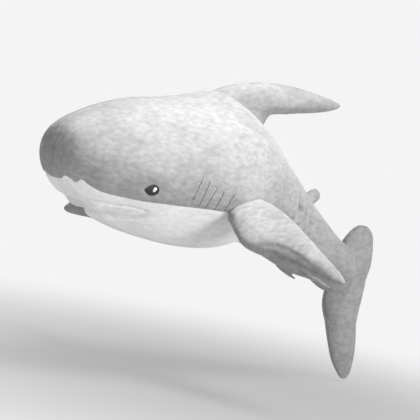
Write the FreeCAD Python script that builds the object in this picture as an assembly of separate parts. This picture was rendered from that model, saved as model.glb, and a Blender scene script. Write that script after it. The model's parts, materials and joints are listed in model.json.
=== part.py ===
import FreeCAD, Part
import math
import os

Vector = FreeCAD.Vector

# A stuffed toy shark, nose towards -Y, its left side towards +X, +Z up.
# Millimetres and degrees. The origin is on the ground, below the middle of the toy.
# "Distance" is measured from the nose along the centre line of the body.

# Centre line: straight through the head and chest, then drooping, then easing back a little.
NOSE_Y = -461.8
AXIS_HEIGHT = 377.6
DROOP = 27.0
DROOP_SPAN = (340.0, 620.0)
LIFT = 8.5
LIFT_SPAN = (600.0, 880.0)
SNOUT_LIFT = 10.0
SNOUT_LENGTH = 80.0
SPINE_STEP = 5.0

# Body: distance, half width, and half height above and below the centre line.
BODY_SECTIONS = (
    (1, 12, 12, 12),
    (8, 42, 40, 40),
    (30, 64, 62, 62),
    (60, 79, 79, 79),
    (100, 95, 97, 96),
    (160, 111, 117, 115),
    (240, 121, 131, 129),
    (330, 127, 147, 140),
    (380, 124, 150, 140),
    (420, 115, 144, 136),
    (520, 84, 104, 102),
    (620, 67, 84, 83),
    (720, 57, 71, 67),
    (790, 49, 61, 51),
    (840, 43, 55, 50),
    (866, 34, 45, 42),
    (882, 20, 29, 28),
    (888, 8, 12, 12),
)
SECTION_POINTS = 12
BELLY_FLAT = 137.0
BELLY_FLAT_END = 480.0

# Cloth and stuffing.
CLOTH = 3.0
STUFFING_GAP = 0.4
SEAM_GAP = 0.2
THREAD_GAP = 0.2
THREAD_PROUD = 0.9
EYE_PROUD = 1.6
GLINT_PROUD = 2.4

# Where the body bends, and by how much to each side.
WAIST = 600.0
STEM_BEND = 705.0
BEND_LIMIT = 15.0
BEND_GAP = 1.0
TAIL_HINGE = 800.0

# White underside, as a side view of its upper edge: distance, height above the centre line.
WHITE_EDGE = (
    (-20, -40), (10, -40), (26, -34), (44, -39), (64, -46), (106, -51), (330, -51),
    (430, -60), (530, -75), (575, -83), (592, -96),
)
# Mouth: its upper crease, and its lower crease from the corner forwards.
MOUTH_TOP = ((-20, -50), (26, -58), (39, -64), (55, -68), (75, -71), (96, -72), (138, -71), (160, -73), (182, -77))
MOUTH_BOTTOM = ((182, -77), (160, -84), (143, -89), (118, -92), (95, -92), (80, -88), (66, -100), (-20, -100))

# Eye and gill stitches, seen from the side.
EYE_CENTRE = (149, -30)
EYE_LENGTH = 30.0
EYE_HEIGHT = 21.0
GLINT_OFFSET = (2.0, 2.5)
GLINT_RADIUS = 3.0
GILL_TOPS = ((247, 6), (264, -1), (284, -8), (301, -15), (325, -17))
GILL_FEET = ((238, -38), (257, -48), (273, -48), (295, -50), (317, -49))
GILL_WIDTH = 1.8

# Fins: front edge, rear edge and half thickness of each section, from the root or lower tip outwards.
TAIL_FIN = (
    ((984, -183), (1002, -185), 4),
    ((941, -162), (1011, -165), 10),
    ((905, -130), (1002, -130), 13),
    ((874, -100), (988, -100), 15),
    ((836, -62), (967, -62), 17),
    ((824, -20), (957, -20), 17),
    ((820, 20), (944, 20), 17),
    ((822, 58), (932, 58), 15),
    ((833, 84), (920, 84), 12),
    ((850, 104), (908, 104), 8),
    ((868, 114), (890, 115), 4),
)
DORSAL_FIN = (
    ((338, 142), (484, 126), 15),
    ((374, 168), (490, 146), 18),
    ((436, 195), (520, 166), 17),
    ((500, 223), (556, 197), 14),
    ((562, 251), (590, 233), 10),
    ((604, 270), (613, 259), 5),
)
SECOND_DORSAL_FIN = (
    ((652, 79), (686, 74), 8),
    ((660, 93), (694, 86), 8),
    ((669, 103), (696, 97), 6),
    ((678, 106), (692, 103), 3),
)

# Pectoral fin: corners of its root on the left flank and its tip, then the sections in the
# plane through those three points, as distance out, front edge, rear edge and half thickness.
PECTORAL_ROOT_FRONT = (329, 116, -58)
PECTORAL_ROOT_REAR = (410, 119, -23)
PECTORAL_TIP = (387, 368, -126)
PECTORAL_SECTIONS = (
    (2, 0, 86, 14),
    (40, -20, 95, 17),
    (85, -36, 93, 18),
    (140, -10, 77, 16),
    (190, 4, 62, 13),
    (232, 17, 50, 9),
    (262, 29, 38, 4),
)
# The right pectoral fin hangs a little higher, and its outer part is twisted, front edge down.
RIGHT_PECTORAL_TIP = (387, 372, -108)
RIGHT_PECTORAL_TWIST = 45.0
TWIST_SPAN = (20.0, 180.0)
TWIST_PIVOT = 0.75

# Pelvic fin: the same, a low swept strake on the left side of the tail stem.
PELVIC_ROOT_FRONT = (712, 37, -54)
PELVIC_ROOT_REAR = (768, 34, -46)
PELVIC_TIP = (800, 52, -52)
PELVIC_SECTIONS = ((4, 4, 60, 2.5), (8, 14, 68, 2.5), (12, 32, 76, 2), (15, 52, 83, 1.5))

FIN_GAP = 1.0
FIN_CLOTH = 2.0
EDGE_TAPER = 2.0
FIN_TILT = 25.0
TAIL_SWING = 25.0
TAIL_STEPS = 3
PECTORAL_DOWN = 25.0
PECTORAL_UP = 35.0

REACH = 1500.0


def ease(value, span):
    """0 before the span, 1 after it, smooth in between."""
    share = min(max((value - span[0]) / (span[1] - span[0]), 0.0), 1.0)
    return share * share * (3.0 - 2.0 * share)


def pitch(distance):
    """Slope of the centre line in radians, negative where it falls towards the tail."""
    return math.radians(LIFT * ease(distance, LIFT_SPAN) - DROOP * ease(distance, DROOP_SPAN))


def spine_point(distance):
    steps = max(1, int(distance / SPINE_STEP))
    step = distance / steps
    y = NOSE_Y
    z = AXIS_HEIGHT
    for number in range(steps):
        angle = pitch((number + 0.5) * step)
        y += step * math.cos(angle)
        z += step * math.sin(angle)
    return Vector(0, y, z)


def forward(distance):
    """Unit vector along the centre line, towards the tail."""
    return Vector(0, math.cos(pitch(distance)), math.sin(pitch(distance)))


def upward(distance):
    return Vector(0, -math.sin(pitch(distance)), math.cos(pitch(distance)))


def place(distance, side, height):
    """Point beside and above the centre line."""
    return spine_point(distance) + Vector(side, 0, 0) + upward(distance) * height


def body_wire(distance, half_width, above, below):
    lift = SNOUT_LIFT * math.exp(-distance / SNOUT_LENGTH)
    points = []
    for number in range(SECTION_POINTS):
        angle = 2.0 * math.pi * number / SECTION_POINTS
        half_height = above if number < SECTION_POINTS / 2 else below
        side = half_width * math.cos(angle)
        height = half_height * math.sin(angle) + lift
        points.append(place(distance, side, height))
    curve = Part.BSplineCurve()
    curve.interpolate(points, PeriodicFlag=True)
    return Part.Wire([curve.toShape()])


def body_solid(growth):
    """The whole stuffed body, grown or shrunk all round."""
    middle = BODY_SECTIONS[-1][0] / 2.0
    wires = []
    for distance, half_width, above, below in BODY_SECTIONS:
        if half_width + growth < 4.0:
            continue
        stretched = middle + (distance - middle) * (1.0 + growth / middle)
        wires.append(body_wire(stretched, half_width + growth, above + growth, below + growth))
    return Part.makeLoft(wires, True, False)


def half_space(point, direction):
    """Everything on the side of a plane that the direction points to."""
    return Part.makeCylinder(REACH, REACH, point, direction)


def turned(vector, axis, degrees):
    return FreeCAD.Rotation(axis, degrees).multVec(vector)


def before(distance):
    """The space in front of a flat cut across the body."""
    return half_space(spine_point(distance), forward(distance) * -1.0)


def behind(distance, axis):
    """The space behind a roof-shaped cut, whose ridge is the hinge axis."""
    zone = None
    for side in (-1, 1):
        normal = turned(forward(distance), axis, side * (BEND_LIMIT + 1.0))
        half = half_space(spine_point(distance), normal)
        zone = half if zone is None else zone.common(half)
    return zone


def side_prism(points):
    """A side view, as distances and heights, made solid right across the toy."""
    corners = [place(distance, -REACH / 4, height) for distance, height in points]
    face = Part.Face(Part.makePolygon(corners + corners[:1]))
    return face.extrude(Vector(REACH / 2, 0, 0))


def left_half(gap):
    return half_space(Vector(gap / 2, 0, 0), Vector(1, 0, 0))


def right_half(gap):
    return half_space(Vector(-gap / 2, 0, 0), Vector(-1, 0, 0))


def mirrored(shape):
    return shape.mirror(Vector(0, 0, 0), Vector(1, 0, 0))


def largest(shape):
    return max(shape.Solids, key=lambda solid: solid.Volume)


def save(name, shape):
    shape.exportStep("parts/" + name + ".step")
    print(name, len(shape.Solids), round(shape.Volume / 1000.0, 1), "cm3", shape.isValid())


def below_belly(lift):
    """What is pressed flat where the chest lies on the ground, lifted by the cloth above it."""
    corner = Vector(-REACH / 2, NOSE_Y, -REACH + AXIS_HEIGHT - BELLY_FLAT + lift)
    return Part.makeBox(REACH, BELLY_FLAT_END, REACH, corner)


class Body:
    """The stuffed body as nested solids: cloth, the space inside it, stuffing and clearance."""

    def __init__(self):
        inner = CLOTH + STUFFING_GAP
        self.outside = body_solid(0.0).cut(below_belly(0.0))
        self.inside = body_solid(-CLOTH).cut(below_belly(CLOTH))
        self.stuffing = body_solid(-inner).cut(below_belly(inner))
        self.clearance = body_solid(FIN_GAP)
        self.cloth = self.outside.cut(self.inside)


def trunk_zone():
    return before(WAIST - BEND_GAP)


def middle_zone():
    return behind(WAIST, upward(WAIST)).common(before(STEM_BEND - BEND_GAP))


def stem_zone():
    return behind(STEM_BEND, Vector(1, 0, 0))


def make_trunk(body):
    zone = trunk_zone()
    cloth = body.cloth.common(zone)
    white_zone = side_prism(WHITE_EDGE + ((WHITE_EDGE[-1][0], -300), (WHITE_EDGE[0][0], -300)))
    mouth_zone = side_prism(MOUTH_TOP + MOUTH_BOTTOM[1:])
    lip_zone = side_prism(((MOUTH_TOP[0][0], 0), (MOUTH_TOP[-1][0], 0)) + MOUTH_TOP[::-1])
    grey = cloth.cut(white_zone)
    white = cloth.common(white_zone)
    save("back_panel_left", largest(grey.common(left_half(0))))
    save("back_panel_right", largest(grey.common(right_half(0))))
    save("upper_lip_panel", largest(white.common(lip_zone)))
    save("mouth_panel", largest(white.common(mouth_zone)))
    save("belly_panel", largest(white.cut(mouth_zone).cut(lip_zone)))
    save("trunk_stuffing", largest(body.stuffing.common(zone)))


def make_rear_body(body):
    for name, zone in (("waist", middle_zone()), ("stem", stem_zone())):
        cloth = body.cloth.common(zone)
        save(name + "_panel_left", largest(cloth.common(left_half(0))))
        save(name + "_panel_right", largest(cloth.common(right_half(0))))
        save(name + "_stuffing", largest(body.stuffing.common(zone)))


def eye_outline():
    """A drop shape pointing forwards: a round rear end and a tip in front."""
    distance, height = EYE_CENTRE
    radius = EYE_HEIGHT / 2
    rear = distance + EYE_LENGTH / 2 - radius
    tip = (distance - EYE_LENGTH / 2, height - 2.0)
    turn = [math.radians(angle) for angle in range(-110, 111, 20)]
    arc = [(rear + radius * math.cos(a), height + radius * math.sin(a)) for a in turn]
    return tuple(arc) + (tip,)


def disc_outline(distance, height, radius):
    turn = [2.0 * math.pi * number / 12 for number in range(12)]
    return tuple((distance + radius * math.cos(a), height + radius * math.sin(a)) for a in turn)


def strip_outline(top, foot):
    half = GILL_WIDTH / 2
    return ((top[0] - half, top[1]), (top[0] + half, top[1]), (foot[0] + half, foot[1]), (foot[0] - half, foot[1]))


def make_face(body):
    """Eyes, glints and gill stitches: thin thread patches that follow the flanks."""
    thread_shell = body_solid(THREAD_PROUD).cut(body_solid(THREAD_GAP))
    eye_shell = body_solid(EYE_PROUD).cut(body_solid(THREAD_GAP))
    glint_shell = body_solid(GLINT_PROUD).cut(body_solid(EYE_PROUD + THREAD_GAP))
    eye_prism = side_prism(eye_outline())
    glint_place = (EYE_CENTRE[0] + GLINT_OFFSET[0], EYE_CENTRE[1] + GLINT_OFFSET[1])
    glint_prism = side_prism(disc_outline(glint_place[0], glint_place[1], GLINT_RADIUS))
    strips = [side_prism(strip_outline(top, foot)) for top, foot in zip(GILL_TOPS, GILL_FEET)]
    for side, half in (("left", left_half(0)), ("right", right_half(0))):
        save("eye_" + side, largest(eye_shell.common(eye_prism).common(half)))
        save("eye_glint_" + side, largest(glint_shell.common(glint_prism).common(half)))
        stitches = [largest(thread_shell.common(strip).common(half)) for strip in strips]
        save("gill_stitches_" + side, Part.makeCompound(stitches))


def lens_wire(front, rear, bulge):
    middle = (front + rear) * 0.5
    one = Part.Arc(front, middle + bulge, rear).toShape()
    other = Part.Arc(rear, middle - bulge, front).toShape()
    return Part.Wire([one, other])


def half_lens_wire(front, rear, bulge):
    """The half of a fin's section on the bulge's side, clear of the seam surface."""
    shift = bulge * (SEAM_GAP / 2 / bulge.Length)
    arc = Part.Arc(front + shift, (front + rear) * 0.5 + bulge, rear + shift).toShape()
    return Part.Wire([arc, Part.makeLine(rear + shift, front + shift)])


def loft(wires):
    return Part.makeLoft(wires, True, False)


def shrunk(section, inset):
    front, rear, bulge = section
    chord = rear - front
    step = chord * (EDGE_TAPER * inset / chord.Length)
    return front + step, rear - step, bulge * (1.0 - inset / bulge.Length)


def average(one, other):
    return tuple((a + b) * 0.5 for a, b in zip(one, other))


def inner_sections(sections, inset, both_tips):
    """The sections of the space inside a fin's cloth."""
    sections = sections[:-1] + [average(sections[-1], sections[-2])]
    if both_tips:
        sections = [average(sections[0], sections[1])] + sections[1:]
    return [shrunk(section, inset) for section in sections]


def trimmed(solid, tools):
    for tool in tools:
        solid = largest(solid.cut(tool))
    return solid


def make_fin(name, sections, tools, both_tips=False, sides=("left", "right"), stuffed=True):
    """Two cloth faces and the stuffing between them, kept clear of the body."""
    pieces = {}
    if stuffed:
        stuffing = inner_sections(sections, FIN_CLOTH + STUFFING_GAP, both_tips)
        pieces[name + "_stuffing"] = trimmed(loft([lens_wire(*section) for section in stuffing]), tools)
        inner = loft([lens_wire(*section) for section in inner_sections(sections, FIN_CLOTH, both_tips)])
    for side, sign in zip(sides, (1.0, -1.0)):
        wires = [half_lens_wire(front, rear, bulge * sign) for front, rear, bulge in sections]
        cloth = trimmed(loft(wires), tools)
        if stuffed:
            cloth = largest(cloth.cut(inner))
        pieces[name + "_" + side] = cloth
    return pieces


def turned_copies(shape, point, axis, angles):
    """The body as the fin meets it at each of the fin's limits."""
    copies = [shape]
    for angle in angles:
        copy = shape.copy()
        copy.rotate(point, axis, angle)
        copies.append(copy)
    return copies


def centre_fin(table):
    """Sections of an upright fin in the middle plane."""
    sections = []
    for front, rear, half_thickness in table:
        first = place(front[0], 0, front[1])
        last = place(rear[0], 0, rear[1])
        sections.append((first, last, Vector(half_thickness, 0, 0)))
    return sections


def fin_frame(root_front, root_rear, tip):
    """Front root corner, and unit vectors along the root, outwards and across the fin."""
    start = place(*root_front)
    along = (place(*root_rear) - start).normalize()
    across = along.cross(place(*tip) - start).normalize()
    outward = across.cross(along)
    return start, along, outward, across


def side_fin(frame, table, twist=0.0):
    """Sections of a fin in the plane of its frame, or twisted about its span."""
    start, along, outward, across = frame
    sections = []
    for out, front, rear, half_thickness in table:
        angle = twist * ease(out, TWIST_SPAN)
        chord = turned(along, outward, angle)
        pivot = front + (rear - front) * TWIST_PIVOT
        base = start + outward * out + along * pivot
        bulge = turned(across, outward, angle) * half_thickness
        sections.append((base + chord * (front - pivot), base + chord * (rear - pivot), bulge))
    return sections


def root_line(table):
    """A point and direction along the root of an upright fin."""
    front, rear, _ = table[0]
    start = place(front[0], 0, front[1])
    return start, (place(rear[0], 0, rear[1]) - start).normalize()


def save_all(pieces):
    for name, shape in pieces.items():
        save(name, shape)


def make_upright_fins(body):
    for name, table in (("dorsal_fin", DORSAL_FIN), ("second_dorsal_fin", SECOND_DORSAL_FIN)):
        point, axis = root_line(table)
        tools = turned_copies(body.clearance, point, axis, (-FIN_TILT, FIN_TILT))
        save_all(make_fin(name, centre_fin(table), tools))
    angles = [TAIL_SWING * step / TAIL_STEPS for step in range(-TAIL_STEPS, TAIL_STEPS + 1) if step]
    tools = turned_copies(body.clearance, spine_point(TAIL_HINGE), upward(TAIL_HINGE), angles)
    save_all(make_fin("tail_fin", centre_fin(TAIL_FIN), tools, both_tips=True))


def make_side_fins(body):
    faces = ("under", "top")
    for side, tip, twist in (("left", PECTORAL_TIP, 0.0), ("right", RIGHT_PECTORAL_TIP, RIGHT_PECTORAL_TWIST)):
        frame = fin_frame(PECTORAL_ROOT_FRONT, PECTORAL_ROOT_REAR, tip)
        tools = turned_copies(body.clearance, frame[0], frame[1], (-PECTORAL_DOWN, PECTORAL_UP))
        pectoral = make_fin("pectoral_fin", side_fin(frame, PECTORAL_SECTIONS, twist), tools, sides=faces)
        save_side(pectoral, side)
        frame = fin_frame(PELVIC_ROOT_FRONT, PELVIC_ROOT_REAR, PELVIC_TIP)
        save_side(make_fin("pelvic_fin", side_fin(frame, PELVIC_SECTIONS), (), sides=faces, stuffed=False), side)


def save_side(pieces, side):
    """Saves a left fin's pieces as they are, or mirrored as the right fin's."""
    for name, shape in pieces.items():
        save(name + "_" + side, mirrored(shape) if side == "right" else shape)


def main():
    os.makedirs("parts", exist_ok=True)
    body = Body()
    make_trunk(body)
    make_rear_body(body)
    make_face(body)
    make_upright_fins(body)
    make_side_fins(body)


if __name__ == "__main__":
    main()
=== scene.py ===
import json
import math

import bmesh
import bpy
import numpy as np
from mathutils import Matrix, Vector
from mathutils.bvhtree import BVHTree


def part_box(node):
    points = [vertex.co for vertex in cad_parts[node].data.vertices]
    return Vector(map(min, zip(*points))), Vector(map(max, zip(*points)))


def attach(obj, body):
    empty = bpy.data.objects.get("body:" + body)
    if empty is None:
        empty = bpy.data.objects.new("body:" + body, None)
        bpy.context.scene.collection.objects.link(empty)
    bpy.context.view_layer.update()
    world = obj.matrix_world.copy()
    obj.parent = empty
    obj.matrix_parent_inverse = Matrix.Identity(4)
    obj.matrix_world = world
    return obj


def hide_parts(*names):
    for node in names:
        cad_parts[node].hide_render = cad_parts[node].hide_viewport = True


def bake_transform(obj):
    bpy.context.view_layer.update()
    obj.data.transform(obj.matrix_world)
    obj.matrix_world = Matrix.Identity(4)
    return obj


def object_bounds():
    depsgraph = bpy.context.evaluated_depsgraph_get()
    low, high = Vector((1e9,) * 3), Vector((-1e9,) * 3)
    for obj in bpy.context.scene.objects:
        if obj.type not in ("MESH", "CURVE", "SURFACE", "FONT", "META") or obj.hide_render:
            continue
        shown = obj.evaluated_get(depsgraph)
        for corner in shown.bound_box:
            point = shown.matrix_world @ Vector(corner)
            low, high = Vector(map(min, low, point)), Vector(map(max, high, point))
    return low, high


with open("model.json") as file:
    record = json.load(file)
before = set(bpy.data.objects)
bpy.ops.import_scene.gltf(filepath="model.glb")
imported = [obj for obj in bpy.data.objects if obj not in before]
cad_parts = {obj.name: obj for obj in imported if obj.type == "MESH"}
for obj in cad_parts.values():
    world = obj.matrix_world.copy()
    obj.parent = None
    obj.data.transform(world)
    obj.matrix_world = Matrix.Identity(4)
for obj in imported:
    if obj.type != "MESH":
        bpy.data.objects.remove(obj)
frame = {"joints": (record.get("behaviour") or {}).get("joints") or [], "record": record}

CAD_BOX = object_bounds()
JOINTS = {joint["name"]: joint for joint in frame["joints"]}
BELLY_REST = frame["record"]["mounts"][0]["pos_m"]

# The body's centre line, in metres: straight through head and chest, then drooping.
# "Distance" runs along it from the nose, "height" stands on it, "side" is towards the left flank.
NOSE_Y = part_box("back_panel_left")[0].y
BELLY_FLAT = 0.137  # the pressed belly lies this far below the centre line
AXIS_HEIGHT = BELLY_REST[2] + BELLY_FLAT
DROOP = 27.0  # degrees
DROOP_SPAN = (0.340, 0.620)
LIFT = 8.5  # degrees, back up again near the tail
LIFT_SPAN = (0.600, 0.880)
WAIST = 0.600
STEM_BEND = 0.705
PANEL_END = 0.652  # where the back panels meet the stem panels
BEND_REACH = 0.045  # the bend's two end points lie this far on each side of a joint

# Body: distance, half width, half height above and below the centre line.
BODY_SHAPE = np.array((
    (0.000, 0.000, 0.000, 0.000),
    (0.008, 0.042, 0.040, 0.040),
    (0.030, 0.064, 0.062, 0.062),
    (0.060, 0.079, 0.079, 0.079),
    (0.100, 0.095, 0.097, 0.096),
    (0.160, 0.111, 0.117, 0.115),
    (0.240, 0.121, 0.131, 0.129),
    (0.330, 0.127, 0.146, 0.138),
    (0.380, 0.124, 0.148, 0.138),
    (0.420, 0.115, 0.142, 0.134),
    (0.520, 0.084, 0.104, 0.102),
    (0.620, 0.067, 0.084, 0.083),
    (0.720, 0.057, 0.071, 0.067),
    (0.790, 0.049, 0.061, 0.051),
    (0.840, 0.043, 0.055, 0.050),
    (0.866, 0.034, 0.045, 0.042),
    (0.882, 0.020, 0.029, 0.028),
    (0.889, 0.000, 0.000, 0.000),
))
BODY_COLUMNS = 64
NOSE_SPAN = 0.030  # both ends have closer rings
BODY_END = 0.889
END_SPAN = 0.049
END_RINGS = 12
RING_STEP = 0.008
SWELL = 0.002  # the skin starts this much smaller than the stuffed toy
THINNEST = 0.0005
SNOUT_LIFT = 0.010
SNOUT_LENGTH = 0.080

# Seams and creases, seen from the side: distance, height.
WHITE_EDGE = np.array((
    (-0.02, -0.040), (0.009, -0.040), (0.026, -0.036), (0.044, -0.039), (0.064, -0.046),
    (0.106, -0.051), (0.20, -0.0515), (0.33, -0.051), (0.43, -0.060), (0.53, -0.075),
    (0.575, -0.083), (0.592, -0.096), (0.62, -0.16),
))
MOUTH_TOP = np.array((
    (-0.02, -0.050), (0.026, -0.058), (0.039, -0.064), (0.055, -0.068), (0.075, -0.071), (0.096, -0.072),
    (0.138, -0.0715), (0.160, -0.073), (0.184, -0.0775),
))
MOUTH_BOTTOM = np.array((
    (-0.02, -0.110), (0.066, -0.094), (0.080, -0.089), (0.095, -0.0915), (0.118, -0.092), (0.143, -0.089),
    (0.160, -0.084), (0.184, -0.0775),
))
MOUTH_END = 0.183
TOOTH_GAPS = (0.096, 0.113, 0.130, 0.147, 0.163)
TOOTH_SIDE = 0.080
TOOTH_BELOW = 0.003
TOOTH_GAP_REACH = (0.05, 0.0045, 0.0035)
TOOTH_GAP_DEPTH = 0.0022
BACK_SEAM = np.array((
    (0.20, 0.135), (0.245, 0.127), (0.278, 0.120), (0.305, 0.117), (0.333, 0.112), (0.40, 0.098),
))

# Grooves pressed in along those lines: line, from and to along the body, depth, width.
SEAM_DENTS = (
    (WHITE_EDGE, (-0.05, 0.60), 0.0014, 0.0028),
    (MOUTH_TOP, (0.030, MOUTH_END), 0.0080, 0.0045),
    (MOUTH_BOTTOM, (0.030, MOUTH_END), 0.0085, 0.0045),
    (BACK_SEAM, (0.20, 0.42), 0.0010, 0.0028),
)
DENT_START = 0.08  # a groove deepens over this length
DENT_STOP = 0.03
TOP_SEAM_DEPTH = 0.0008
TOP_SEAM_WIDTH = 0.0025

# The snout's white edge is gathered by hand: side, rise, width of each pucker.
PUCKERS = ((0.026, 0.008, 0.007), (0.049, 0.004, 0.006), (0.037, -0.004, 0.004))
PUCKER_FADE = (0.030, 0.050)

# Creases where the body folds at the waist, on both flanks.
FOLD_DEPTH = 0.0070
FOLD_WIDTH = 0.0050
FOLD_LIP = 0.35
FOLD_LIP_AWAY = 2.4
FOLD_FULL = 1.6  # how soon a fold reaches its depth, from its ends
WAIST_FOLDS = (
    ((0.563, 0.050), (0.569, 0.025), (0.580, 0.012), (0.582, -0.016)),
    ((0.586, 0.054), (0.598, 0.023), (0.603, 0.006), (0.606, -0.020)),
    ((0.605, 0.046), (0.618, 0.026), (0.626, 0.012), (0.631, -0.018)),
)

# Where a fin joins, the stuffing is raised: centre, reach, rise, all as side, distance, height.
DORSAL_HUMP = ((0, 0.375, 0.150), (0.040, 0.055, 0.060), 0.012)
SECOND_DORSAL_HUMP = ((0, 0.668, 0.080), (0.014, 0.022, 0.030), 0.004)
SHOULDER = ((0.122, 0.372, -0.030), (0.05, 0.050, 0.030), 0.009)

# The embroidered eye: centre on the flank, half length and half height, and how far it stands out.
EYE_CENTRE = (0.149, -0.030)
EYE_SIZE = (0.0155, 0.0108)
EYE_DOME = 0.0034
EYE_HOLLOW = ((0.100, *EYE_CENTRE), (0.05, 0.019, 0.015), 0.0030)
EYE_TAPER = 0.55  # share of its height lost at the front point
EYE_TAPER_CURVE = 1.6
EYE_DIP = 0.0022
GLINT_SIZE = (0.0012, 0.0034, 0.0046)
GLINT_PLACE = (0.0031, 0.0036, 0.0020)
GLINT_TURN = -18.0  # degrees
EYE_MESH = (40, 24)  # segments and rings of each ball of thread
GLINT_MESH = (24, 16)
STITCH_MESH = (8, 6)

# Gill lines from top to foot, and the length of one back stitch with its half width and height.
GILLS = (
    ((0.247, 0.006), (0.238, -0.038)),
    ((0.264, -0.001), (0.257, -0.048)),
    ((0.284, -0.008), (0.273, -0.048)),
    ((0.301, -0.015), (0.295, -0.050)),
    ((0.325, -0.017), (0.317, -0.049)),
)
STITCH = 0.0052
STITCH_WIDTH = 0.0006
STITCH_HEIGHT = 0.0007
STITCH_SHARE = 0.54  # half a stitch and a little more, so that they touch
GILL_BOW = 0.0012
GILL_WOBBLE = 0.0004
WOBBLE_TURN = 2.4  # radians from one stitch to the next
FLANK_OUTSIDE = 0.3  # rays to the flank start this far out

# Upright fins: front edge, rear edge, half thickness, from root (or lower tip) to tip.
DORSAL_FIN = (
    ((0.334, 0.118), (0.482, 0.104), 0.017),
    ((0.338, 0.142), (0.484, 0.126), 0.017),
    ((0.374, 0.168), (0.490, 0.146), 0.019),
    ((0.436, 0.195), (0.520, 0.166), 0.018),
    ((0.500, 0.223), (0.556, 0.197), 0.015),
    ((0.562, 0.251), (0.590, 0.233), 0.011),
    ((0.600, 0.268), (0.612, 0.258), 0.006),
    ((0.612, 0.272), (0.617, 0.267), 0.003),
)
SECOND_DORSAL_FIN = (
    ((0.648, 0.060), (0.688, 0.055), 0.009),
    ((0.652, 0.079), (0.687, 0.074), 0.009),
    ((0.660, 0.093), (0.694, 0.086), 0.008),
    ((0.668, 0.102), (0.697, 0.096), 0.007),
    ((0.676, 0.106), (0.692, 0.103), 0.004),
)
TAIL_FIN = (
    ((0.992, -0.186), (1.004, -0.184), 0.003),
    ((0.978, -0.181), (1.009, -0.176), 0.007),
    ((0.941, -0.162), (1.011, -0.160), 0.011),
    ((0.905, -0.130), (1.002, -0.130), 0.014),
    ((0.874, -0.100), (0.988, -0.100), 0.016),
    ((0.842, -0.066), (0.968, -0.064), 0.018),
    ((0.830, -0.020), (0.955, -0.020), 0.018),
    ((0.826, 0.020), (0.943, 0.020), 0.018),
    ((0.826, 0.056), (0.934, 0.058), 0.017),
    ((0.834, 0.084), (0.922, 0.084), 0.014),
    ((0.848, 0.104), (0.910, 0.104), 0.009),
    ((0.860, 0.112), (0.899, 0.112), 0.006),
    ((0.870, 0.116), (0.888, 0.116), 0.003),
)

# Side fins: root corners and tip on the left, then distance out, front, rear, half thickness.
PECTORAL_CORNERS = ((0.329, 0.116, -0.058), (0.410, 0.119, -0.023), (0.387, 0.368, -0.126))
RIGHT_PECTORAL_TIP = (0.387, 0.372, -0.108)
RIGHT_PECTORAL_TWIST = 45.0  # degrees
TWIST_SPAN = (0.020, 0.180)  # distance out from the root, from no twist to all of it
TWIST_PIVOT = 0.062
PECTORAL_FIN = (
    (-0.030, 0.008, 0.086, 0.012),
    (0.002, -0.002, 0.088, 0.016),
    (0.040, -0.022, 0.095, 0.020),
    (0.085, -0.036, 0.092, 0.020),
    (0.140, -0.010, 0.076, 0.018),
    (0.190, 0.004, 0.061, 0.015),
    (0.232, 0.016, 0.050, 0.010),
    (0.254, 0.024, 0.042, 0.006),
    (0.264, 0.030, 0.035, 0.003),
)
PELVIC_CORNERS = ((0.712, 0.037, -0.054), (0.768, 0.034, -0.046), (0.800, 0.052, -0.052))
PELVIC_FIN = (
    (-0.008, 0.000, 0.056, 0.0030),
    (0.003, 0.004, 0.060, 0.0035),
    (0.008, 0.014, 0.068, 0.0035),
    (0.012, 0.032, 0.076, 0.0030),
    (0.015, 0.052, 0.083, 0.0025),
    (0.016, 0.062, 0.082, 0.0015),
)

# The span at a fin's root runs from a little inside its hinge to this far up the fin.
UPRIGHT_ROOT = 0.004
SIDE_ROOT = 0.002
DORSAL_REACH = 0.030
SECOND_DORSAL_REACH = 0.014
PECTORAL_REACH = 0.040
PELVIC_REACH = 0.010
TAIL_BLEND = (0.840, 0.895)

# Fin skins: points round a ring, rings for each row above, and how sharp the rim is.
FIN_COLUMNS = 40
RINGS_PER_SECTION = 6
ROUND_RIM = 0.9
SHARP_RIM = 1.0

# Cloth: thickness, mesh size, pressure of the stuffing, and how far it may swell.
CLOTH = 0.0018
BODY_MESH = 0.005
FIN_MESH = 0.004
THIN_FIN_MESH = 0.0015
PRESSURE = 4.0
STUFFING_FRAMES = 20
CLOTH_QUALITY = 4
STRETCH_STIFFNESS = 15.0
BEND_STIFFNESS = 0.5
MOST_SWELLING = 0.004
WELD = 0.0001
RIM_SEAM_DEPTH = 0.0010
RIM_SEAM_WIDTH = 0.0016

# Viewing direction in degrees, distance and lens of the camera.
VIEW_AZIMUTH = 41.94
VIEW_ELEVATION = 2.51
VIEW_ROLL = 10.98
VIEW_DISTANCE = 3.418
LENS = 157.85
SENSOR = 36.0
AIM = (0.0, NOSE_Y + 0.450, AXIS_HEIGHT)
AIM_RIGHT = -0.01091
AIM_UP = -0.01664

# Studio: a glowing paper floor with a painted shadow under the toy, walls, one key light above the head and
# a weaker one from the left.
FLOOR_SIZE = 60.0
WALL = "#F4F4F4"
CEILING = "#484848"
# The floor's glow near the toy: dimmer than the walls, a painted shadow under the toy.
NEAR_FLOOR_PAINTED_SHADOW = "#B0B0B0"
PAPER = "#4A4A4A"
# Where the painted shadow in the floor's glow gives way to its full glow, and where its paper stops taking
# light.
PAINTED_SHADOW_FADE = (0.1, 1.2)  # metres from the origin
WALL_FADE = (0.12, 0.28)  # height in the sky, 0 at the horizon
KEY_TARGET = (0.0, -0.22, AXIS_HEIGHT)
KEY_PLACE = (0.62, -0.12, 1.95)
SIDE_DIRECTION = (1.00, 0.15, 0.08)
SIDE_DISTANCE = 2.7
LIGHT_SIZE = 0.9
KEY_LIGHT = (7.0, 50.0)  # power in watts, spread in degrees
SIDE_LIGHT = (8.0, 90.0)
FLOOR_GAP = 0.001  # the floor lies this far below the toy

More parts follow.
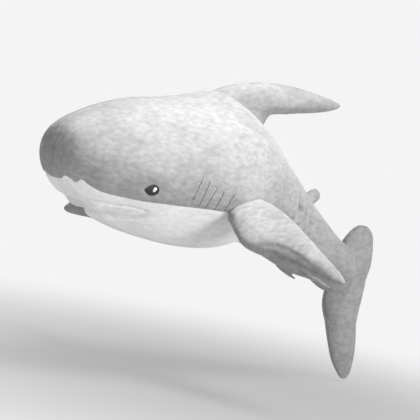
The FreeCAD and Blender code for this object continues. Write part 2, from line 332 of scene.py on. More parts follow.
# Sizes of what the eye sees in the cloth and the thread, in millimetres. Real pile fibres are a
# few hundredths of a millimetre thick, too fine to show, so they are drawn as strands of 1.5 mm.
METRE_MM = 1000.0  # a cloudy pattern at scale 1 has patches about a metre across
PATCH_MM = 40.0
TUFT_MM = 7.0
FIBRE_MM = 1.5
THREAD_MM = 0.6
PILE_LIE = (1.0, 0.45, 1.0)  # the pattern is drawn out along the way the pile is brushed
PATCH_WEIGHT = 0.9
PATCH_DISTORTION = 0.6
SHADE_SPAN = (0.65, 1.25)
FIBRE_HEIGHT = 0.0010
TUFT_HEIGHT = 0.0025
PILE_BUMP = 0.3
PILE_ROUGHNESS = 0.95
PILE_SPECULAR = 0.15
SHEEN_ROUGHNESS = 0.45
THREAD_DISTORTION = 1.5
THREAD_BUMP = 0.4
THREAD_HEIGHT = 0.0003
WAVE_MM = 314.16  # a stripe pattern at scale 1 repeats after this length


# ---------------------------------------------------------------- curves

def curve_value(table, values, power=1.0):
    """A smooth curve through (position, value) rows, with no overshoot where the rows are even."""
    xs = table[:, 0]
    ys = table[:, 1:] ** power
    slopes = np.gradient(ys, xs, axis=0)
    values = np.clip(values, xs[0], xs[-1])
    index = np.clip(np.searchsorted(xs, values) - 1, 0, len(xs) - 2)
    width = (xs[index + 1] - xs[index])[:, None]
    t = (values - xs[index])[:, None] / width
    start = ys[index] * (2 * t ** 3 - 3 * t ** 2 + 1) + slopes[index] * width * (t ** 3 - 2 * t ** 2 + t)
    end = ys[index + 1] * (3 * t ** 2 - 2 * t ** 3) + slopes[index + 1] * width * (t ** 3 - t ** 2)
    return np.maximum(start + end, 0.0) ** (1.0 / power) if power != 1.0 else start + end


def ease(value, span):
    """0 before the span, 1 after it, and a soft step between."""
    share = np.clip((value - span[0]) / (span[1] - span[0]), 0.0, 1.0)
    return share * share * (3.0 - 2.0 * share)


def pitch(distance):
    """The centre line's slope at a distance along it, in radians."""
    return np.radians(LIFT * ease(distance, LIFT_SPAN) - DROOP * ease(distance, DROOP_SPAN))


SPINE_STEP = 0.002
SPINE_AT = np.arange(0.0, 1.10, SPINE_STEP)
SPINE_SLOPE = pitch(SPINE_AT + SPINE_STEP / 2)
SPINE_Y = NOSE_Y + np.concatenate(([0.0], np.cumsum(np.cos(SPINE_SLOPE))[:-1])) * SPINE_STEP
SPINE_Z = AXIS_HEIGHT + np.concatenate(([0.0], np.cumsum(np.sin(SPINE_SLOPE))[:-1])) * SPINE_STEP


def droop(points):
    """Moves points from the straight toy (side, distance, height) to the drooping one."""
    side, distance, height = np.asarray(points, float).reshape(-1, 3).T
    slope = pitch(distance)
    y = np.interp(distance, SPINE_AT, SPINE_Y) + np.minimum(distance, 0.0) - height * np.sin(slope)
    z = np.interp(distance, SPINE_AT, SPINE_Z) + height * np.cos(slope)
    return np.column_stack((side, y, z))


def place(distance, side, height):
    """A point of the drooping toy."""
    return Vector(droop([(side, distance, height)])[0])


# ---------------------------------------------------------------- meshes

def coordinates(piece):
    points = np.empty(len(piece.data.vertices) * 3)
    piece.data.vertices.foreach_get("co", points)
    return points.reshape(-1, 3)


def set_coordinates(piece, points):
    piece.data.vertices.foreach_set("co", np.asarray(points, float).ravel())
    piece.data.update()


def vertex_normals(piece):
    normals = np.empty(len(piece.data.vertices) * 3)
    piece.data.vertices.foreach_get("normal", normals)
    return normals.reshape(-1, 3)


def select_only(piece):
    bpy.ops.object.select_all(action="DESELECT")
    piece.select_set(True)
    bpy.context.view_layer.objects.active = piece


def apply_modifier(piece, kind, **settings):
    select_only(piece)
    modifier = piece.modifiers.new(kind.lower(), kind)
    for name, value in settings.items():
        setattr(modifier, name, value)
    bpy.ops.object.modifier_apply(modifier=modifier.name)


def new_piece(name, points, faces):
    mesh = bpy.data.meshes.new(name)
    mesh.from_pydata([tuple(point) for point in points], [], faces)
    piece = bpy.data.objects.new(name, mesh)
    bpy.context.scene.collection.objects.link(piece)
    return piece


def ring_skin(name, rings):
    """A closed skin through rings of points, each end closed by a fan."""
    count = len(rings[0])
    points = [point for ring in rings for point in ring]
    faces = []
    for row in range(len(rings) - 1):
        for column in range(count):
            following = (column + 1) % count
            a = row * count
            b = a + count
            faces.append((a + column, a + following, b + following, b + column))
    for ring, first in ((rings[0], 0), (rings[-1], (len(rings) - 1) * count)):
        points.append(np.mean(ring, axis=0))
        centre = len(points) - 1
        for column in range(count):
            faces.append((first + column, first + (column + 1) % count, centre))
    piece = new_piece(name, points, faces)
    make_normals_consistent(piece)
    return piece


def make_normals_consistent(piece):
    select_only(piece)
    bpy.ops.object.mode_set(mode="EDIT")
    bpy.ops.mesh.select_all(action="SELECT")
    bpy.ops.mesh.normals_make_consistent(inside=False)
    bpy.ops.object.mode_set(mode="OBJECT")


def copy_piece(piece, name):
    copy = piece.copy()
    copy.data = piece.data.copy()
    copy.name = name
    copy.data.name = name
    bpy.context.scene.collection.objects.link(copy)
    return copy


def keep_side(piece, point, normal):
    """Cuts a piece with a plane and keeps what lies on the normal's side."""
    mesh = bmesh.new()
    mesh.from_mesh(piece.data)
    geometry = mesh.verts[:] + mesh.edges[:] + mesh.faces[:]
    bmesh.ops.bisect_plane(mesh, geom=geometry, dist=1e-6, plane_co=point, plane_no=normal, clear_inner=True)
    mesh.to_mesh(piece.data)
    mesh.free()
    piece.data.update()


def keep_above(piece, seam, sign):
    """Cuts a straight piece along a seam seen from the side, and keeps it above (or below)."""
    points = coordinates(piece)
    points[:, 2] -= curve_value(seam, points[:, 1])[:, 0]
    set_coordinates(piece, points)
    keep_side(piece, (0, 0, 0), (0, 0, sign))
    points = coordinates(piece)
    points[:, 2] += curve_value(seam, points[:, 1])[:, 0]
    set_coordinates(piece, points)


def stuff(piece, most):
    """Fills a closed cloth skin: it swells under pressure, no point further than the most given."""
    start = coordinates(piece)
    select_only(piece)
    modifier = piece.modifiers.new("stuffing", "CLOTH")
    settings = modifier.settings
    settings.use_pressure = True
    settings.uniform_pressure_force = PRESSURE
    settings.effector_weights.gravity = 0.0
    settings.quality = CLOTH_QUALITY
    settings.tension_stiffness = STRETCH_STIFFNESS
    settings.compression_stiffness = STRETCH_STIFFNESS
    settings.bending_stiffness = BEND_STIFFNESS
    modifier.point_cache.frame_start = 1
    modifier.point_cache.frame_end = STUFFING_FRAMES
    scene = bpy.context.scene
    for number in range(1, STUFFING_FRAMES + 1):
        scene.frame_set(number)
    bpy.ops.object.modifier_apply(modifier=modifier.name)
    scene.frame_set(1)
    moved = coordinates(piece) - start
    length = np.linalg.norm(moved, axis=1, keepdims=True)
    set_coordinates(piece, start + moved * np.minimum(1.0, most / np.maximum(length, 1e-9)))


def finish_cloth(piece, body, material, nodes):
    """Gives a cut panel its thickness, material and place in the toy."""
    apply_modifier(piece, "SOLIDIFY", thickness=CLOTH, offset=-1.0, use_even_offset=False)
    piece.data.shade_smooth()
    piece.data.materials.clear()
    piece.data.materials.append(material)
    if isinstance(body, str):
        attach(piece, body)
    else:
        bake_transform(piece)
    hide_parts(*nodes)


# ---------------------------------------------------------------- materials

def linear(code):
    """An sRGB hex colour as linear RGBA."""
    channels = [int(code[k:k + 2], 16) / 255.0 for k in (1, 3, 5)]
    curved = [c / 12.92 if c <= 0.04045 else ((c + 0.055) / 1.055) ** 2.4 for c in channels]
    return (*curved, 1.0)


def add_node(tree, kind, links=(), **settings):
    """Adds a node, sets its properties and inputs, and links (socket, source) pairs into it."""
    node = tree.nodes.new(kind)
    for name, value in settings.items():
        if name in node.inputs:
            node.inputs[name].default_value = value
        else:
            setattr(node, name, value)
    for socket, source in links:
        tree.links.new(source, node.inputs[socket])
    return node


def new_material(name):
    """An empty material and its node tree."""
    material = bpy.data.materials.new(name)
    material.use_nodes = True
    material.node_tree.nodes.clear()
    return material, material.node_tree


def plush(name, dark, light, sheen):
    """Polyester knit with a short pile, brushed backwards.

    Patches 40 mm across are a little lighter or darker where the pile lies another way, tufts
    of 7 mm break them up, and strands of fibre make the surface rough to the eye.
    The pile scatters light at its rim, so the cloth is dull with a faint sheen.
    """
    material, tree = new_material(name)
    cloth = add_node(tree, "ShaderNodeTexCoord")
    brushed = add_node(tree, "ShaderNodeMapping", (("Vector", cloth.outputs["Object"]),), Scale=PILE_LIE)
    lie = (("Vector", brushed.outputs["Vector"]),)
    patches = add_node(
        tree, "ShaderNodeTexNoise", lie,
        Scale=METRE_MM / PATCH_MM, Detail=4.0, Distortion=PATCH_DISTORTION,
    )
    tufts = add_node(tree, "ShaderNodeTexNoise", lie, Scale=METRE_MM / TUFT_MM, Detail=3.0)
    fibres = add_node(tree, "ShaderNodeTexNoise", lie, Scale=METRE_MM / FIBRE_MM, Detail=2.0)
    both = add_node(tree, "ShaderNodeMath", (("Value", patches.outputs["Fac"]),), operation="MULTIPLY_ADD")
    both.inputs[1].default_value = PATCH_WEIGHT
    tree.links.new(tufts.outputs["Fac"], both.inputs[2])
    shade = add_node(tree, "ShaderNodeMapRange", (("Value", both.outputs["Value"]),))
    shade.inputs["From Min"].default_value = SHADE_SPAN[0]
    shade.inputs["From Max"].default_value = SHADE_SPAN[1]
    colour = add_node(tree, "ShaderNodeMix", (("Factor", shade.outputs["Result"]),), data_type="RGBA")
    colour.inputs["A"].default_value = linear(dark)
    colour.inputs["B"].default_value = linear(light)
    fine = add_node(
        tree, "ShaderNodeBump", (("Height", fibres.outputs["Fac"]),),
        Strength=PILE_BUMP, Distance=FIBRE_HEIGHT,
    )
    rough = add_node(
        tree, "ShaderNodeBump", (("Height", tufts.outputs["Fac"]),),
        Strength=PILE_BUMP, Distance=TUFT_HEIGHT,
    )
    tree.links.new(fine.outputs["Normal"], rough.inputs["Normal"])
    shader = add_node(tree, "ShaderNodeBsdfPrincipled")
    shader.inputs["Roughness"].default_value = PILE_ROUGHNESS
    shader.inputs["Specular IOR Level"].default_value = PILE_SPECULAR
    shader.inputs["Sheen Weight"].default_value = sheen
    shader.inputs["Sheen Roughness"].default_value = SHEEN_ROUGHNESS
    tree.links.new(colour.outputs["Result"], shader.inputs["Base Color"])
    tree.links.new(rough.outputs["Normal"], shader.inputs["Normal"])
    add_node(tree, "ShaderNodeOutputMaterial", (("Surface", shader.outputs["BSDF"]),))
    return material


def thread(name, dark, light, gloss):
    """Satin stitch: parallel twisted threads 0.6 mm apart, shinier than the cloth around them.

    The rows keep their real spacing, so from afar they only soften the gloss.
    """
    material, tree = new_material(name)
    cloth = add_node(tree, "ShaderNodeTexCoord")
    rows = add_node(
        tree, "ShaderNodeTexWave", (("Vector", cloth.outputs["Object"]),),
        bands_direction="Z", Scale=WAVE_MM / THREAD_MM, Distortion=THREAD_DISTORTION,
    )
    colour = add_node(tree, "ShaderNodeMix", (("Factor", rows.outputs["Fac"]),), data_type="RGBA")
    colour.inputs["A"].default_value = linear(dark)
    colour.inputs["B"].default_value = linear(light)
    bump = add_node(
        tree, "ShaderNodeBump", (("Height", rows.outputs["Fac"]),),
        Strength=THREAD_BUMP, Distance=THREAD_HEIGHT,
    )
    shader = add_node(tree, "ShaderNodeBsdfPrincipled")
    shader.inputs["Roughness"].default_value = gloss
    tree.links.new(colour.outputs["Result"], shader.inputs["Base Color"])
    tree.links.new(bump.outputs["Normal"], shader.inputs["Normal"])
    add_node(tree, "ShaderNodeOutputMaterial", (("Surface", shader.outputs["BSDF"]),))
    return material


# ---------------------------------------------------------------- body

def body_rings():
    """Rings of the straight body, closer together at its two round ends."""
    near_nose = NOSE_SPAN * (np.arange(1, END_RINGS + 1) / END_RINGS) ** 2
    middle = np.arange(NOSE_SPAN + RING_STEP, BODY_END - END_SPAN, RING_STEP)
    near_end = BODY_END - END_SPAN * (np.arange(END_RINGS, 0, -1) / END_RINGS) ** 2
    stations = np.concatenate((near_nose, middle, near_end))
    sizes = np.maximum(curve_value(BODY_SHAPE, stations, power=2.0) - SWELL, THINNEST)
    angles = np.linspace(0.0, 2.0 * np.pi, BODY_COLUMNS, endpoint=False)
    rings = []
    for distance, (half_width, above, below) in zip(stations, sizes):
        lift = SNOUT_LIFT * math.exp(-distance / SNOUT_LENGTH)
        half_height = np.where(np.sin(angles) > 0, above, below)
        side = half_width * np.cos(angles)
        height = half_height * np.sin(angles) + lift
        rings.append(np.column_stack((side, np.full(BODY_COLUMNS, distance), height)))
    return rings


def mound(points, centre, reach, rise):
    """How much a soft mound lifts each point; centre and reach are side, distance, height."""
    offset = (points - np.array(centre)) / np.array(reach)
    return rise * np.exp(-(offset ** 2).sum(axis=1))


def seam_dent(points, seam, span, depth, width):
    """A soft groove along a seam that is drawn from the side."""
    distance = points[:, 1]
    gap = (points[:, 2] - curve_value(seam, distance)[:, 0]) / width
    begun = ease(distance, (span[0], span[0] + DENT_START))
    ended = ease(distance, (span[1] - DENT_STOP, span[1]))
    return depth * np.exp(-gap ** 2) * begun * (1.0 - ended)


def fold_dent(points, line, depth, width):
    """A crease along a short line of the side view, fading towards its ends, with a lip beside it."""
    line = np.array(line)
    flat = points[:, 1:3]
    nearest = np.full(len(points), 1.0)
    along = np.zeros(len(points))
    for number, (start, end) in enumerate(zip(line[:-1], line[1:])):
        step = end - start
        share = np.clip(((flat - start) @ step) / (step @ step), 0.0, 1.0)
        gap = np.linalg.norm(flat - (start + share[:, None] * step), axis=1)
        closer = gap < nearest
        nearest = np.where(closer, gap, nearest)
        along = np.where(closer, (number + share) / (len(line) - 1), along)
    fade = np.clip(np.sin(np.pi * np.clip(along, 0.02, 0.98)) * FOLD_FULL, 0.0, 1.0)
    groove = np.exp(-(nearest / width) ** 2)
    lip = FOLD_LIP * np.exp(-(nearest / width - FOLD_LIP_AWAY) ** 2)
    return depth * fade * (groove - lip)


def shape_details(skin):
    """Mounds where fins join, eye hollows, seams, tooth gaps and waist folds."""
    points = coordinates(skin)
    normals = vertex_normals(skin)
    flank = np.column_stack((np.abs(points[:, 0]), points[:, 1], points[:, 2]))
    out = mound(points, *DORSAL_HUMP)
    out += mound(points, *SECOND_DORSAL_HUMP)
    out += mound(flank, *SHOULDER)
    out -= mound(flank, *EYE_HOLLOW)
    for line, span, depth, width in SEAM_DENTS:
        out -= seam_dent(points, line, span, depth, width)
    for distance in TOOTH_GAPS:
        height = curve_value(MOUTH_TOP, np.array([distance]))[0, 0] - TOOTH_BELOW
        out -= mound(flank, (TOOTH_SIDE, distance, height), TOOTH_GAP_REACH, TOOTH_GAP_DEPTH)
    for line in WAIST_FOLDS:
        out -= fold_dent(flank, line, FOLD_DEPTH, FOLD_WIDTH)
    middle = np.exp(-(points[:, 0] / TOP_SEAM_WIDTH) ** 2) * np.where(points[:, 2] > 0, 1.0, 0.0)
    out -= TOP_SEAM_DEPTH * middle
    set_coordinates(skin, points + normals * out[:, None])


def make_body_skin():
    """The whole stuffed body as one closed skin, still straight, with its seams pressed in."""
    skin = ring_skin("body_skin", body_rings())
    apply_modifier(skin, "REMESH", mode="VOXEL", voxel_size=BODY_MESH)
    stuff(skin, MOST_SWELLING)
    apply_modifier(skin, "SUBSURF", levels=1, render_levels=1)
    shape_details(skin)
    return skin


def pucker(points, sign):
    """Shifts points near the snout up or down, so that a straight cut there comes out gathered."""
    shift = np.zeros(len(points))
    for side, rise, width in PUCKERS:
        shift += rise * np.exp(-((np.abs(points[:, 0]) - side) / width) ** 2)
    shift *= 1.0 - ease(points[:, 1], PUCKER_FADE)
    moved = points.copy()
    moved[:, 2] -= sign * shift
    return moved


def split_white(piece, sign):
    """Keeps what lies above (1) or below (-1) the gathered edge of the white cloth."""
    set_coordinates(piece, pucker(coordinates(piece), 1.0))
    keep_above(piece, WHITE_EDGE, sign)
    set_coordinates(piece, pucker(coordinates(piece), -1.0))


def join_cut(first, second):
    """Joins two pieces that share a cut, and welds them along it."""
    bpy.ops.object.select_all(action="DESELECT")
    second.select_set(True)
    first.select_set(True)
    bpy.context.view_layer.objects.active = first
    bpy.ops.object.join()
    bpy.ops.object.mode_set(mode="EDIT")
    bpy.ops.mesh.select_all(action="SELECT")
    bpy.ops.mesh.remove_doubles(threshold=WELD)
    bpy.ops.object.mode_set(mode="OBJECT")


def body_piece(piece, body, material, nodes):
    """Bends a straight panel along the drooping centre line and finishes it."""
    set_coordinates(piece, droop(coordinates(piece)))
    finish_cloth(piece, body, material, nodes)


def bend(parent, child, distance):
    """The parent, the child, and two points on the centre line either side of the joint at a distance along
    the body.
    """
    return parent, child, place(distance - BEND_REACH, 0, 0), place(distance + BEND_REACH, 0, 0)


def make_body(skin, grey, white, felt):
    """Cuts the skin into the panels that are sewn together, and finishes each."""
    front = copy_piece(skin, "front")
    keep_side(front, (0, PANEL_END, 0), (0, -1, 0))
    waist_bend = bend("trunk", "waist", WAIST)
    stem_bend = bend("waist", "tail_stem", STEM_BEND)
    under = copy_piece(front, "under")
    split_white(front, 1)
    split_white(under, -1)
    for side, sign in (("left", 1), ("right", -1)):
        back = copy_piece(front, "back_cloth_" + side)
        keep_side(back, (0, 0, 0), (sign, 0, 0))
        stem = copy_piece(skin, "stem_cloth_" + side)
        keep_side(stem, (0, PANEL_END, 0), (0, 1, 0))
        keep_side(stem, (0, 0, 0), (sign, 0, 0))
        back_nodes = ["back_panel_" + side]
        stem_nodes = ["waist_panel_" + side, "stem_panel_" + side]
        if side == "left":
            back_nodes.append("trunk_stuffing")
            stem_nodes += ["waist_stuffing", "stem_stuffing"]
        body_piece(back, waist_bend, grey, back_nodes)
        body_piece(stem, stem_bend, grey, stem_nodes)
    belly = copy_piece(under, "belly_cloth")
    keep_side(belly, (0, MOUTH_END, 0), (0, 1, 0))
    keep_side(under, (0, MOUTH_END, 0), (0, -1, 0))
    jaw = copy_piece(under, "jaw")
    keep_above(jaw, MOUTH_BOTTOM, -1)
    mouth = copy_piece(under, "mouth_cloth")
    keep_above(mouth, MOUTH_TOP, -1)
    keep_above(mouth, MOUTH_BOTTOM, 1)
    lip = copy_piece(under, "lip_cloth")
    keep_above(lip, MOUTH_TOP, 1)
    join_cut(belly, jaw)
    body_piece(lip, "trunk", white, ["upper_lip_panel"])
    body_piece(mouth, "trunk", felt, ["mouth_panel"])
    body_piece(belly, waist_bend, white, ["belly_panel"])
    bpy.data.objects.remove(front)
    bpy.data.objects.remove(under)


# ---------------------------------------------------------------- fins

def fin_rings(sections, count, edge):
    """Rings of a padded fin; a low edge value makes its rim round, a high one sharp."""
    rows = [[number, *front, *rear, *bulge] for number, (front, rear, bulge) in enumerate(sections)]
    values = curve_value(np.array(rows, float), np.linspace(0, len(sections) - 1, count))
    angles = np.linspace(0.0, 2.0 * np.pi, FIN_COLUMNS, endpoint=False)
    across = (1.0 - np.cos(angles)) / 2.0
    thickness = np.sign(np.sin(angles)) * np.abs(np.sin(angles)) ** edge
    rings = []
    for row in values:
        front, rear, bulge = row[0:3], row[3:6], row[6:9]
        rings.append(front + np.outer(across, rear - front) + np.outer(thickness, bulge))
    return rings


def make_fin_skin(name, sections, plane, edge, padded):
    """A fin as one closed skin, with the seam between its two faces pressed in."""
    skin = ring_skin(name, fin_rings(sections, RINGS_PER_SECTION * len(sections), edge))
    apply_modifier(skin, "REMESH", mode="VOXEL", voxel_size=FIN_MESH if padded else THIN_FIN_MESH)
    apply_modifier(skin, "SMOOTH", factor=0.5, iterations=3)
    if padded:
        stuff(skin, MOST_SWELLING)
    apply_modifier(skin, "SUBSURF", levels=1, render_levels=1)
    points = coordinates(skin)
    gap = (points - np.array(plane[0])) @ np.array(plane[1].normalized())
    dent = RIM_SEAM_DEPTH * np.exp(-(gap / RIM_SEAM_WIDTH) ** 2)
    set_coordinates(skin, points - vertex_normals(skin) * dent[:, None])
    return skin


def make_fin(name, nodes, sections, plane, names, body, material, edge=SHARP_RIM, reshape=None):
    """Two cloth faces cut from one skin; a fin that has a stuffing node is padded."""
    skin = make_fin_skin(name + "_skin", sections, plane, edge, len(nodes) > 2)
    point, normal = plane
    for number, sign in enumerate((1, -1)):
        face = copy_piece(skin, name + "_cloth_" + names[number])
        keep_side(face, point, normal * sign)
        if reshape:
            set_coordinates(face, reshape(coordinates(face)))
        replaced = [nodes[number]] + (nodes[2:] if number == 0 else [])
        finish_cloth(face, body, material, replaced)
    bpy.data.objects.remove(skin)


def upright_sections(table):
    """Front edge, rear edge and half thickness of each row, on the drooping toy."""
    sections = []
    for front, rear, half in table:
        sections.append((place(front[0], 0, front[1]), place(rear[0], 0, rear[1]), Vector((half, 0, 0))))
    return sections


class SideFrame:
    """The plane of a side fin on the left: its root line, the way out, and the way up."""

    def __init__(self, corners, tip):
        self.start, rear, tip = [place(*corner) for corner in (corners[0], corners[1], tip)]
        self.along = (rear - self.start).normalized()
        self.up = (tip - self.start).cross(self.along).normalized()
        self.out = self.along.cross(self.up)

    def sections(self, table):
        rows = []
        for out, front, rear, half in table:
            base = self.start + self.out * out
            rows.append((base + self.along * front, base + self.along * rear, self.up * half))
        return rows

    def twist(self, points, degrees):
        """Turns the outer part of a fin about its span, front edge down."""
        local = points - np.array(self.start)
        out = local @ np.array(self.out)
        along = local @ np.array(self.along) - TWIST_PIVOT
        up = local @ np.array(self.up)
        angle = np.radians(degrees) * ease(out, TWIST_SPAN)
        turned_along = along * np.cos(angle) - up * np.sin(angle) + TWIST_PIVOT
        turned_up = along * np.sin(angle) + up * np.cos(angle)
        return (np.array(self.start) + np.outer(out, self.out) + np.outer(turned_along, self.along)
                + np.outer(turned_up, self.up))


def make_upright_fins(grey):
    middle = (Vector((0, 0, 0)), Vector((1, 0, 0)))
    sides = ("left", "right")
    for name, table, parent, reach in (
        ("dorsal_fin", DORSAL_FIN, "trunk", DORSAL_REACH),
        ("second_dorsal_fin", SECOND_DORSAL_FIN, "waist", SECOND_DORSAL_REACH),
    ):
        joint = JOINTS[name.replace("_fin", "_tilt")]
        root = Vector(joint["pos_m"])
        up = Vector((1, 0, 0)).cross(Vector(joint["axis"])).normalized()
        body = (parent, name, root - up * UPRIGHT_ROOT, root + up * reach)
        nodes = [name + "_left", name + "_right", name + "_stuffing"]
        make_fin(name, nodes, upright_sections(table), middle, sides, body, grey)
    body = ("tail_stem", "tail_fin", place(TAIL_BLEND[0], 0, 0), place(TAIL_BLEND[1], 0, 0))
    nodes = ["tail_fin_left", "tail_fin_right", "tail_fin_stuffing"]
    make_fin("tail_fin", nodes, upright_sections(TAIL_FIN), middle, sides, body, grey)


def right_twist(shape):
    """Turns the outer part of the right pectoral fin, whose frame is that of a left one."""
    mirror = np.array((-1.0, 1.0, 1.0))

    def reshape(points):
        return shape.twist(points * mirror, RIGHT_PECTORAL_TWIST) * mirror

    return reshape


def make_side_fin(name, side, corners, table, parent, reach, edge, grey):
    """A side fin drawn on the left, and mirrored if it is the right one."""
    shape = SideFrame(corners[:2], corners[2])
    flip = Matrix.Diagonal((1.0 if side == "left" else -1.0, 1.0, 1.0))
    sections = [tuple(flip @ point for point in section) for section in shape.sections(table)]
    plane = (flip @ shape.start, flip @ shape.up)
    out = flip @ shape.out
    body = (parent, name + "_" + side, plane[0] - out * SIDE_ROOT, plane[0] + out * reach)
    nodes = [name + "_top_" + side, name + "_under_" + side]
    reshape = None
    if name == "pectoral_fin":
        nodes.append("pectoral_fin_stuffing_" + side)
        if side == "right":
            reshape = right_twist(shape)
    make_fin(name + "_" + side, nodes, sections, plane, ("top", "under"), body, grey, edge, reshape)


def make_side_fins(grey):
    for side, tip in (("left", PECTORAL_CORNERS[2]), ("right", RIGHT_PECTORAL_TIP)):
        corners = PECTORAL_CORNERS[:2] + (tip,)
        pectoral = (PECTORAL_FIN, "trunk", PECTORAL_REACH, ROUND_RIM)
        make_side_fin("pectoral_fin", side, corners, *pectoral, grey)
        pelvic = (PELVIC_FIN, "tail_stem", PELVIC_REACH, SHARP_RIM)
        make_side_fin("pelvic_fin", side, PELVIC_CORNERS, *pelvic, grey)


# ---------------------------------------------------------------- face

class Flank:
    """The stuffed left flank, to lay thread on."""

    def __init__(self, skin):
        mesh = bmesh.new()
        mesh.from_mesh(skin.data)
        self.tree = BVHTree.FromBMesh(mesh)
        mesh.free()

    def at(self, distance, height):
        """Point on the flank and the way out of it."""
        start = Vector((FLANK_OUTSIDE, distance, height))
        point, normal, _, _ = self.tree.ray_cast(start, Vector((-1, 0, 0)))
        slope = float(pitch(distance))
        out = Vector((
            normal.x,
            normal.y * math.cos(slope) - normal.z * math.sin(slope),
            normal.y * math.sin(slope) + normal.z * math.cos(slope),
        ))
        return Vector(droop([point])[0]), out.normalized()


def facing(point, out, along):
    """A placement whose X points out of the flank and whose Y runs along it."""
    along = (along - out * along.dot(out)).normalized()
    return Matrix.Translation(point) @ Matrix((out, along, out.cross(along))).transposed().to_4x4()


def add_ball(name, size, segments, ring_count):
    """A ball squashed to a size (out, along, up)."""
    bpy.ops.object.select_all(action="DESELECT")
    bpy.ops.mesh.primitive_uv_sphere_add(
        segments=segments, ring_count=ring_count, radius=1.0, location=(0, 0, 0),
    )
    ball = bpy.context.object
    ball.name = name
    ball.data.name = name
    bpy.ops.object.mode_set(mode="EDIT")
    bpy.ops.mesh.select_all(action="SELECT")
    bpy.ops.transform.resize(value=size)
    bpy.ops.object.mode_set(mode="OBJECT")
    return ball


def settle(piece, placement, mirrored):
    """Applies a placement to a piece's mesh, mirrored to the right side where asked."""
    piece.matrix_world = placement
    select_only(piece)
    bpy.ops.object.transform_apply(location=True, rotation=True, scale=True)
    if mirrored:
        bpy.ops.object.mode_set(mode="EDIT")
        bpy.ops.mesh.select_all(action="SELECT")
        bpy.ops.transform.resize(value=(-1, 1, 1), center_override=(0, 0, 0))
        bpy.ops.mesh.normals_make_consistent(inside=False)
        bpy.ops.object.mode_set(mode="OBJECT")


def dress(piece, material, node):
    """Gives a thread piece its material and its place on the trunk."""
    piece.data.shade_smooth()
    piece.data.materials.clear()
    piece.data.materials.append(material)
    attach(piece, "trunk")
    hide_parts(node)


def make_eye(flank, side, dark, pale):
    """A domed satin-stitch drop, its point in front and a little low, with a stitched glint."""
    mirrored = side == "right"
    point, out = flank.at(*EYE_CENTRE)
    placement = facing(point, out, Vector((0, 1, 0)))
    eye = add_ball("eye_stitching_" + side, (EYE_DOME, *EYE_SIZE), *EYE_MESH)
    points = coordinates(eye)
    ahead = np.clip(-points[:, 1] / EYE_SIZE[0], 0.0, 1.0)
    points[:, 2] = points[:, 2] * (1.0 - EYE_TAPER * ahead ** EYE_TAPER_CURVE) - EYE_DIP * ahead ** 2
    set_coordinates(eye, points)
    settle(eye, placement, mirrored)
    dress(eye, dark, "eye_" + side)
    glint = add_ball("glint_stitching_" + side, GLINT_SIZE, *GLINT_MESH)
    offset = Matrix.Translation(GLINT_PLACE) @ Matrix.Rotation(math.radians(GLINT_TURN), 4, "X")
    settle(glint, placement @ offset, mirrored)
    dress(glint, pale, "eye_glint_" + side)


def make_gills(flank, side, dark):
    """Slightly wavy rows of back stitches; each stitch is a thin rounded bar."""
    stitches = []
    for row, (top, foot) in enumerate(GILLS):
        length = math.dist(top, foot)
        count = round(length / STITCH)
        for number in range(count):
            share = (number + 0.5) / count
            bow = GILL_BOW * math.sin(math.pi * share)
            wave = bow + GILL_WOBBLE * math.sin(WOBBLE_TURN * number + row)
            distance = top[0] + (foot[0] - top[0]) * share - wave
            height = top[1] + (foot[1] - top[1]) * share
            point, out = flank.at(distance, height)
            along = Vector((0, foot[0] - top[0], foot[1] - top[1]))
            bar = (STITCH_WIDTH, STITCH_SHARE * length / count, STITCH_HEIGHT)
            stitch = add_ball("stitch", bar, *STITCH_MESH)
            settle(stitch, facing(point, out, along), side == "right")
            stitches.append(stitch)
    bpy.ops.object.select_all(action="DESELECT")
    for stitch in stitches:
        stitch.select_set(True)
    bpy.context.view_layer.objects.active = stitches[0]
    bpy.ops.object.join()
    gills = bpy.context.object
    gills.name = "gill_thread_" + side
    gills.data.name = gills.name
    dress(gills, dark, "gill_stitches_" + side)


# ---------------------------------------------------------------- studio

def view_axes():
    """The camera's right, its up, and the way back from the toy to it."""
    azimuth, elevation, roll = (math.radians(v) for v in (VIEW_AZIMUTH, VIEW_ELEVATION, VIEW_ROLL))
    level = math.cos(elevation)
    back = Vector((math.sin(azimuth) * level, -math.cos(azimuth) * level, math.sin(elevation)))
    right = Vector((math.cos(azimuth), math.sin(azimuth), 0.0))
    up = back.cross(right)
    rolled_right = right * math.cos(roll) + up * math.sin(roll)
    rolled_up = up * math.cos(roll) - right * math.sin(roll)
    return rolled_right, rolled_up, back


def make_camera():
    """A long lens, turned a little so that the toy sits right in the frame."""
    right, up, back = view_axes()
    data = bpy.data.cameras.new("camera")
    data.lens = LENS
    data.sensor_width = SENSOR
    data.clip_end = 50.0
    camera = bpy.data.objects.new("camera", data)
    bpy.context.scene.collection.objects.link(camera)
    position = Vector(AIM) + back * VIEW_DISTANCE
    ahead = (-back + right * AIM_RIGHT + up * AIM_UP).normalized()
    right = ahead.cross(up).normalized()
    up = right.cross(ahead)
    turn = Matrix((right, up, -ahead)).transposed().to_4x4()
    camera.matrix_world = Matrix.Translation(position) @ turn
    bpy.context.scene.camera = camera


def make_light(name, position, target, size, power, spread):
    data = bpy.data.lights.new(name, "AREA")
    data.shape = "DISK"
    data.size = size
    data.energy = power
    data.spread = math.radians(spread)
    light = bpy.data.objects.new(name, data)
    light.location = position
    light.rotation_euler = (Vector(target) - Vector(position)).to_track_quat("-Z", "Y").to_euler()
    bpy.context.scene.collection.objects.link(light)


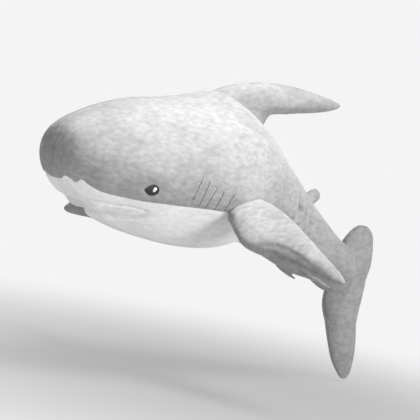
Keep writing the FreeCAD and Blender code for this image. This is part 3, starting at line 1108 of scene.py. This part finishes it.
def make_studio():
    bpy.ops.object.select_all(action="DESELECT")
    bpy.ops.mesh.primitive_plane_add(size=FLOOR_SIZE, location=(0, 0, CAD_BOX[0][2] - FLOOR_GAP))
    floor = bpy.context.object
    floor.name = "studio_floor"
    floor.data.materials.append(floor_material())
    middle = Vector((0, 0, AXIS_HEIGHT))
    make_light("key", KEY_PLACE, KEY_TARGET, LIGHT_SIZE, *KEY_LIGHT)
    side = middle + Vector(SIDE_DIRECTION).normalized() * SIDE_DISTANCE
    make_light("side", side, middle, LIGHT_SIZE, *SIDE_LIGHT)
    make_world()


def floor_material():
    """A glowing paper floor, its glow dimmed under the toy as a painted shadow, that meets the walls with no
    line.
    """
    material, tree = new_material("paper floor, glowing, with painted shadow")
    spot = add_node(tree, "ShaderNodeTexCoord")
    away = add_node(tree, "ShaderNodeVectorMath", (("Vector", spot.outputs["Object"]),), operation="LENGTH")
    fade = add_node(
        tree, "ShaderNodeMapRange", (("Value", away.outputs["Value"]),),
        interpolation_type="SMOOTHSTEP", **{"From Min": PAINTED_SHADOW_FADE[0], "From Max": PAINTED_SHADOW_FADE[1]},
    )
    # Painted shadow: the glow is darker near the toy and turns to the walls' colour further out.
    painted_shadow_glow = add_node(tree, "ShaderNodeMix", (("Factor", fade.outputs["Result"]),), data_type="RGBA")
    painted_shadow_glow.inputs["A"].default_value = linear(NEAR_FLOOR_PAINTED_SHADOW)
    painted_shadow_glow.inputs["B"].default_value = linear(WALL)
    glow = add_node(tree, "ShaderNodeEmission", (("Color", painted_shadow_glow.outputs["Result"]),))
    paper = add_node(tree, "ShaderNodeBsdfDiffuse")
    paper.inputs["Color"].default_value = linear(PAPER)
    nothing = add_node(tree, "ShaderNodeBsdfTransparent")
    nothing.inputs["Color"].default_value = (0, 0, 0, 1)
    # Further out the paper gives way to a black transparent shader, so only the glow shows there and no cast
    # shadow shows.
    shaded = add_node(tree, "ShaderNodeMixShader", (("Fac", fade.outputs["Result"]),))
    tree.links.new(paper.outputs["BSDF"], shaded.inputs[1])
    tree.links.new(nothing.outputs["BSDF"], shaded.inputs[2])
    both = add_node(tree, "ShaderNodeAddShader")
    tree.links.new(shaded.outputs["Shader"], both.inputs[0])
    tree.links.new(glow.outputs["Emission"], both.inputs[1])
    add_node(tree, "ShaderNodeOutputMaterial", (("Surface", both.outputs["Shader"]),))
    return material


def make_world():
    """A studio room: pale walls low down all round and a dim ceiling."""
    world = bpy.data.worlds.new("studio")
    world.use_nodes = True
    tree = world.node_tree
    tree.nodes.clear()
    direction = add_node(tree, "ShaderNodeTexCoord")
    split = add_node(tree, "ShaderNodeSeparateXYZ", (("Vector", direction.outputs["Generated"]),))
    fade = add_node(
        tree, "ShaderNodeMapRange", (("Value", split.outputs["Z"]),),
        interpolation_type="SMOOTHSTEP", **{"From Min": WALL_FADE[0], "From Max": WALL_FADE[1]},
    )
    colour = add_node(tree, "ShaderNodeMix", (("Factor", fade.outputs["Result"]),), data_type="RGBA")
    colour.inputs["A"].default_value = linear(WALL)
    colour.inputs["B"].default_value = linear(CEILING)
    background = add_node(tree, "ShaderNodeBackground", (("Color", colour.outputs["Result"]),))
    add_node(tree, "ShaderNodeOutputWorld", (("Surface", background.outputs["Background"]),))
    bpy.context.scene.world = world
    bpy.context.scene.view_settings.view_transform = "Standard"


def main():
    # Dyed plush: grey and mottled where hands have brushed the pile to and fro.
    grey = plush("brushed polyester plush, grey", "#888888", "#A6A6A6", 0.15)
    # Undyed plush: the same pile, nearly white, so its patches are fainter.
    white = plush("brushed polyester plush, white", "#DADADA", "#F0F0F0", 0.1)
    # Needled felt of the mouth: fuzzy and a shade darker than the white plush round it.
    felt = plush("polyester felt, mouth", "#CCCCCC", "#E8E8E8", 0.2)
    # Satin stitching in black rayon: soft gloss, broken by the rows of thread.
    dark = thread("rayon embroidery thread, black", "#101010", "#262626", 0.4)
    # The glint in the eye: white rayon, a little duller, bright against the black.
    pale = thread("rayon embroidery thread, white", "#D8D8D8", "#F4F4F4", 0.5)
    make_camera()
    make_studio()
    skin = make_body_skin()
    flank = Flank(skin)
    make_body(skin, grey, white, felt)
    bpy.data.objects.remove(skin)
    make_upright_fins(grey)
    make_side_fins(grey)
    for side in ("left", "right"):
        make_eye(flank, side, dark, pale)
        make_gills(flank, side, dark)


main()
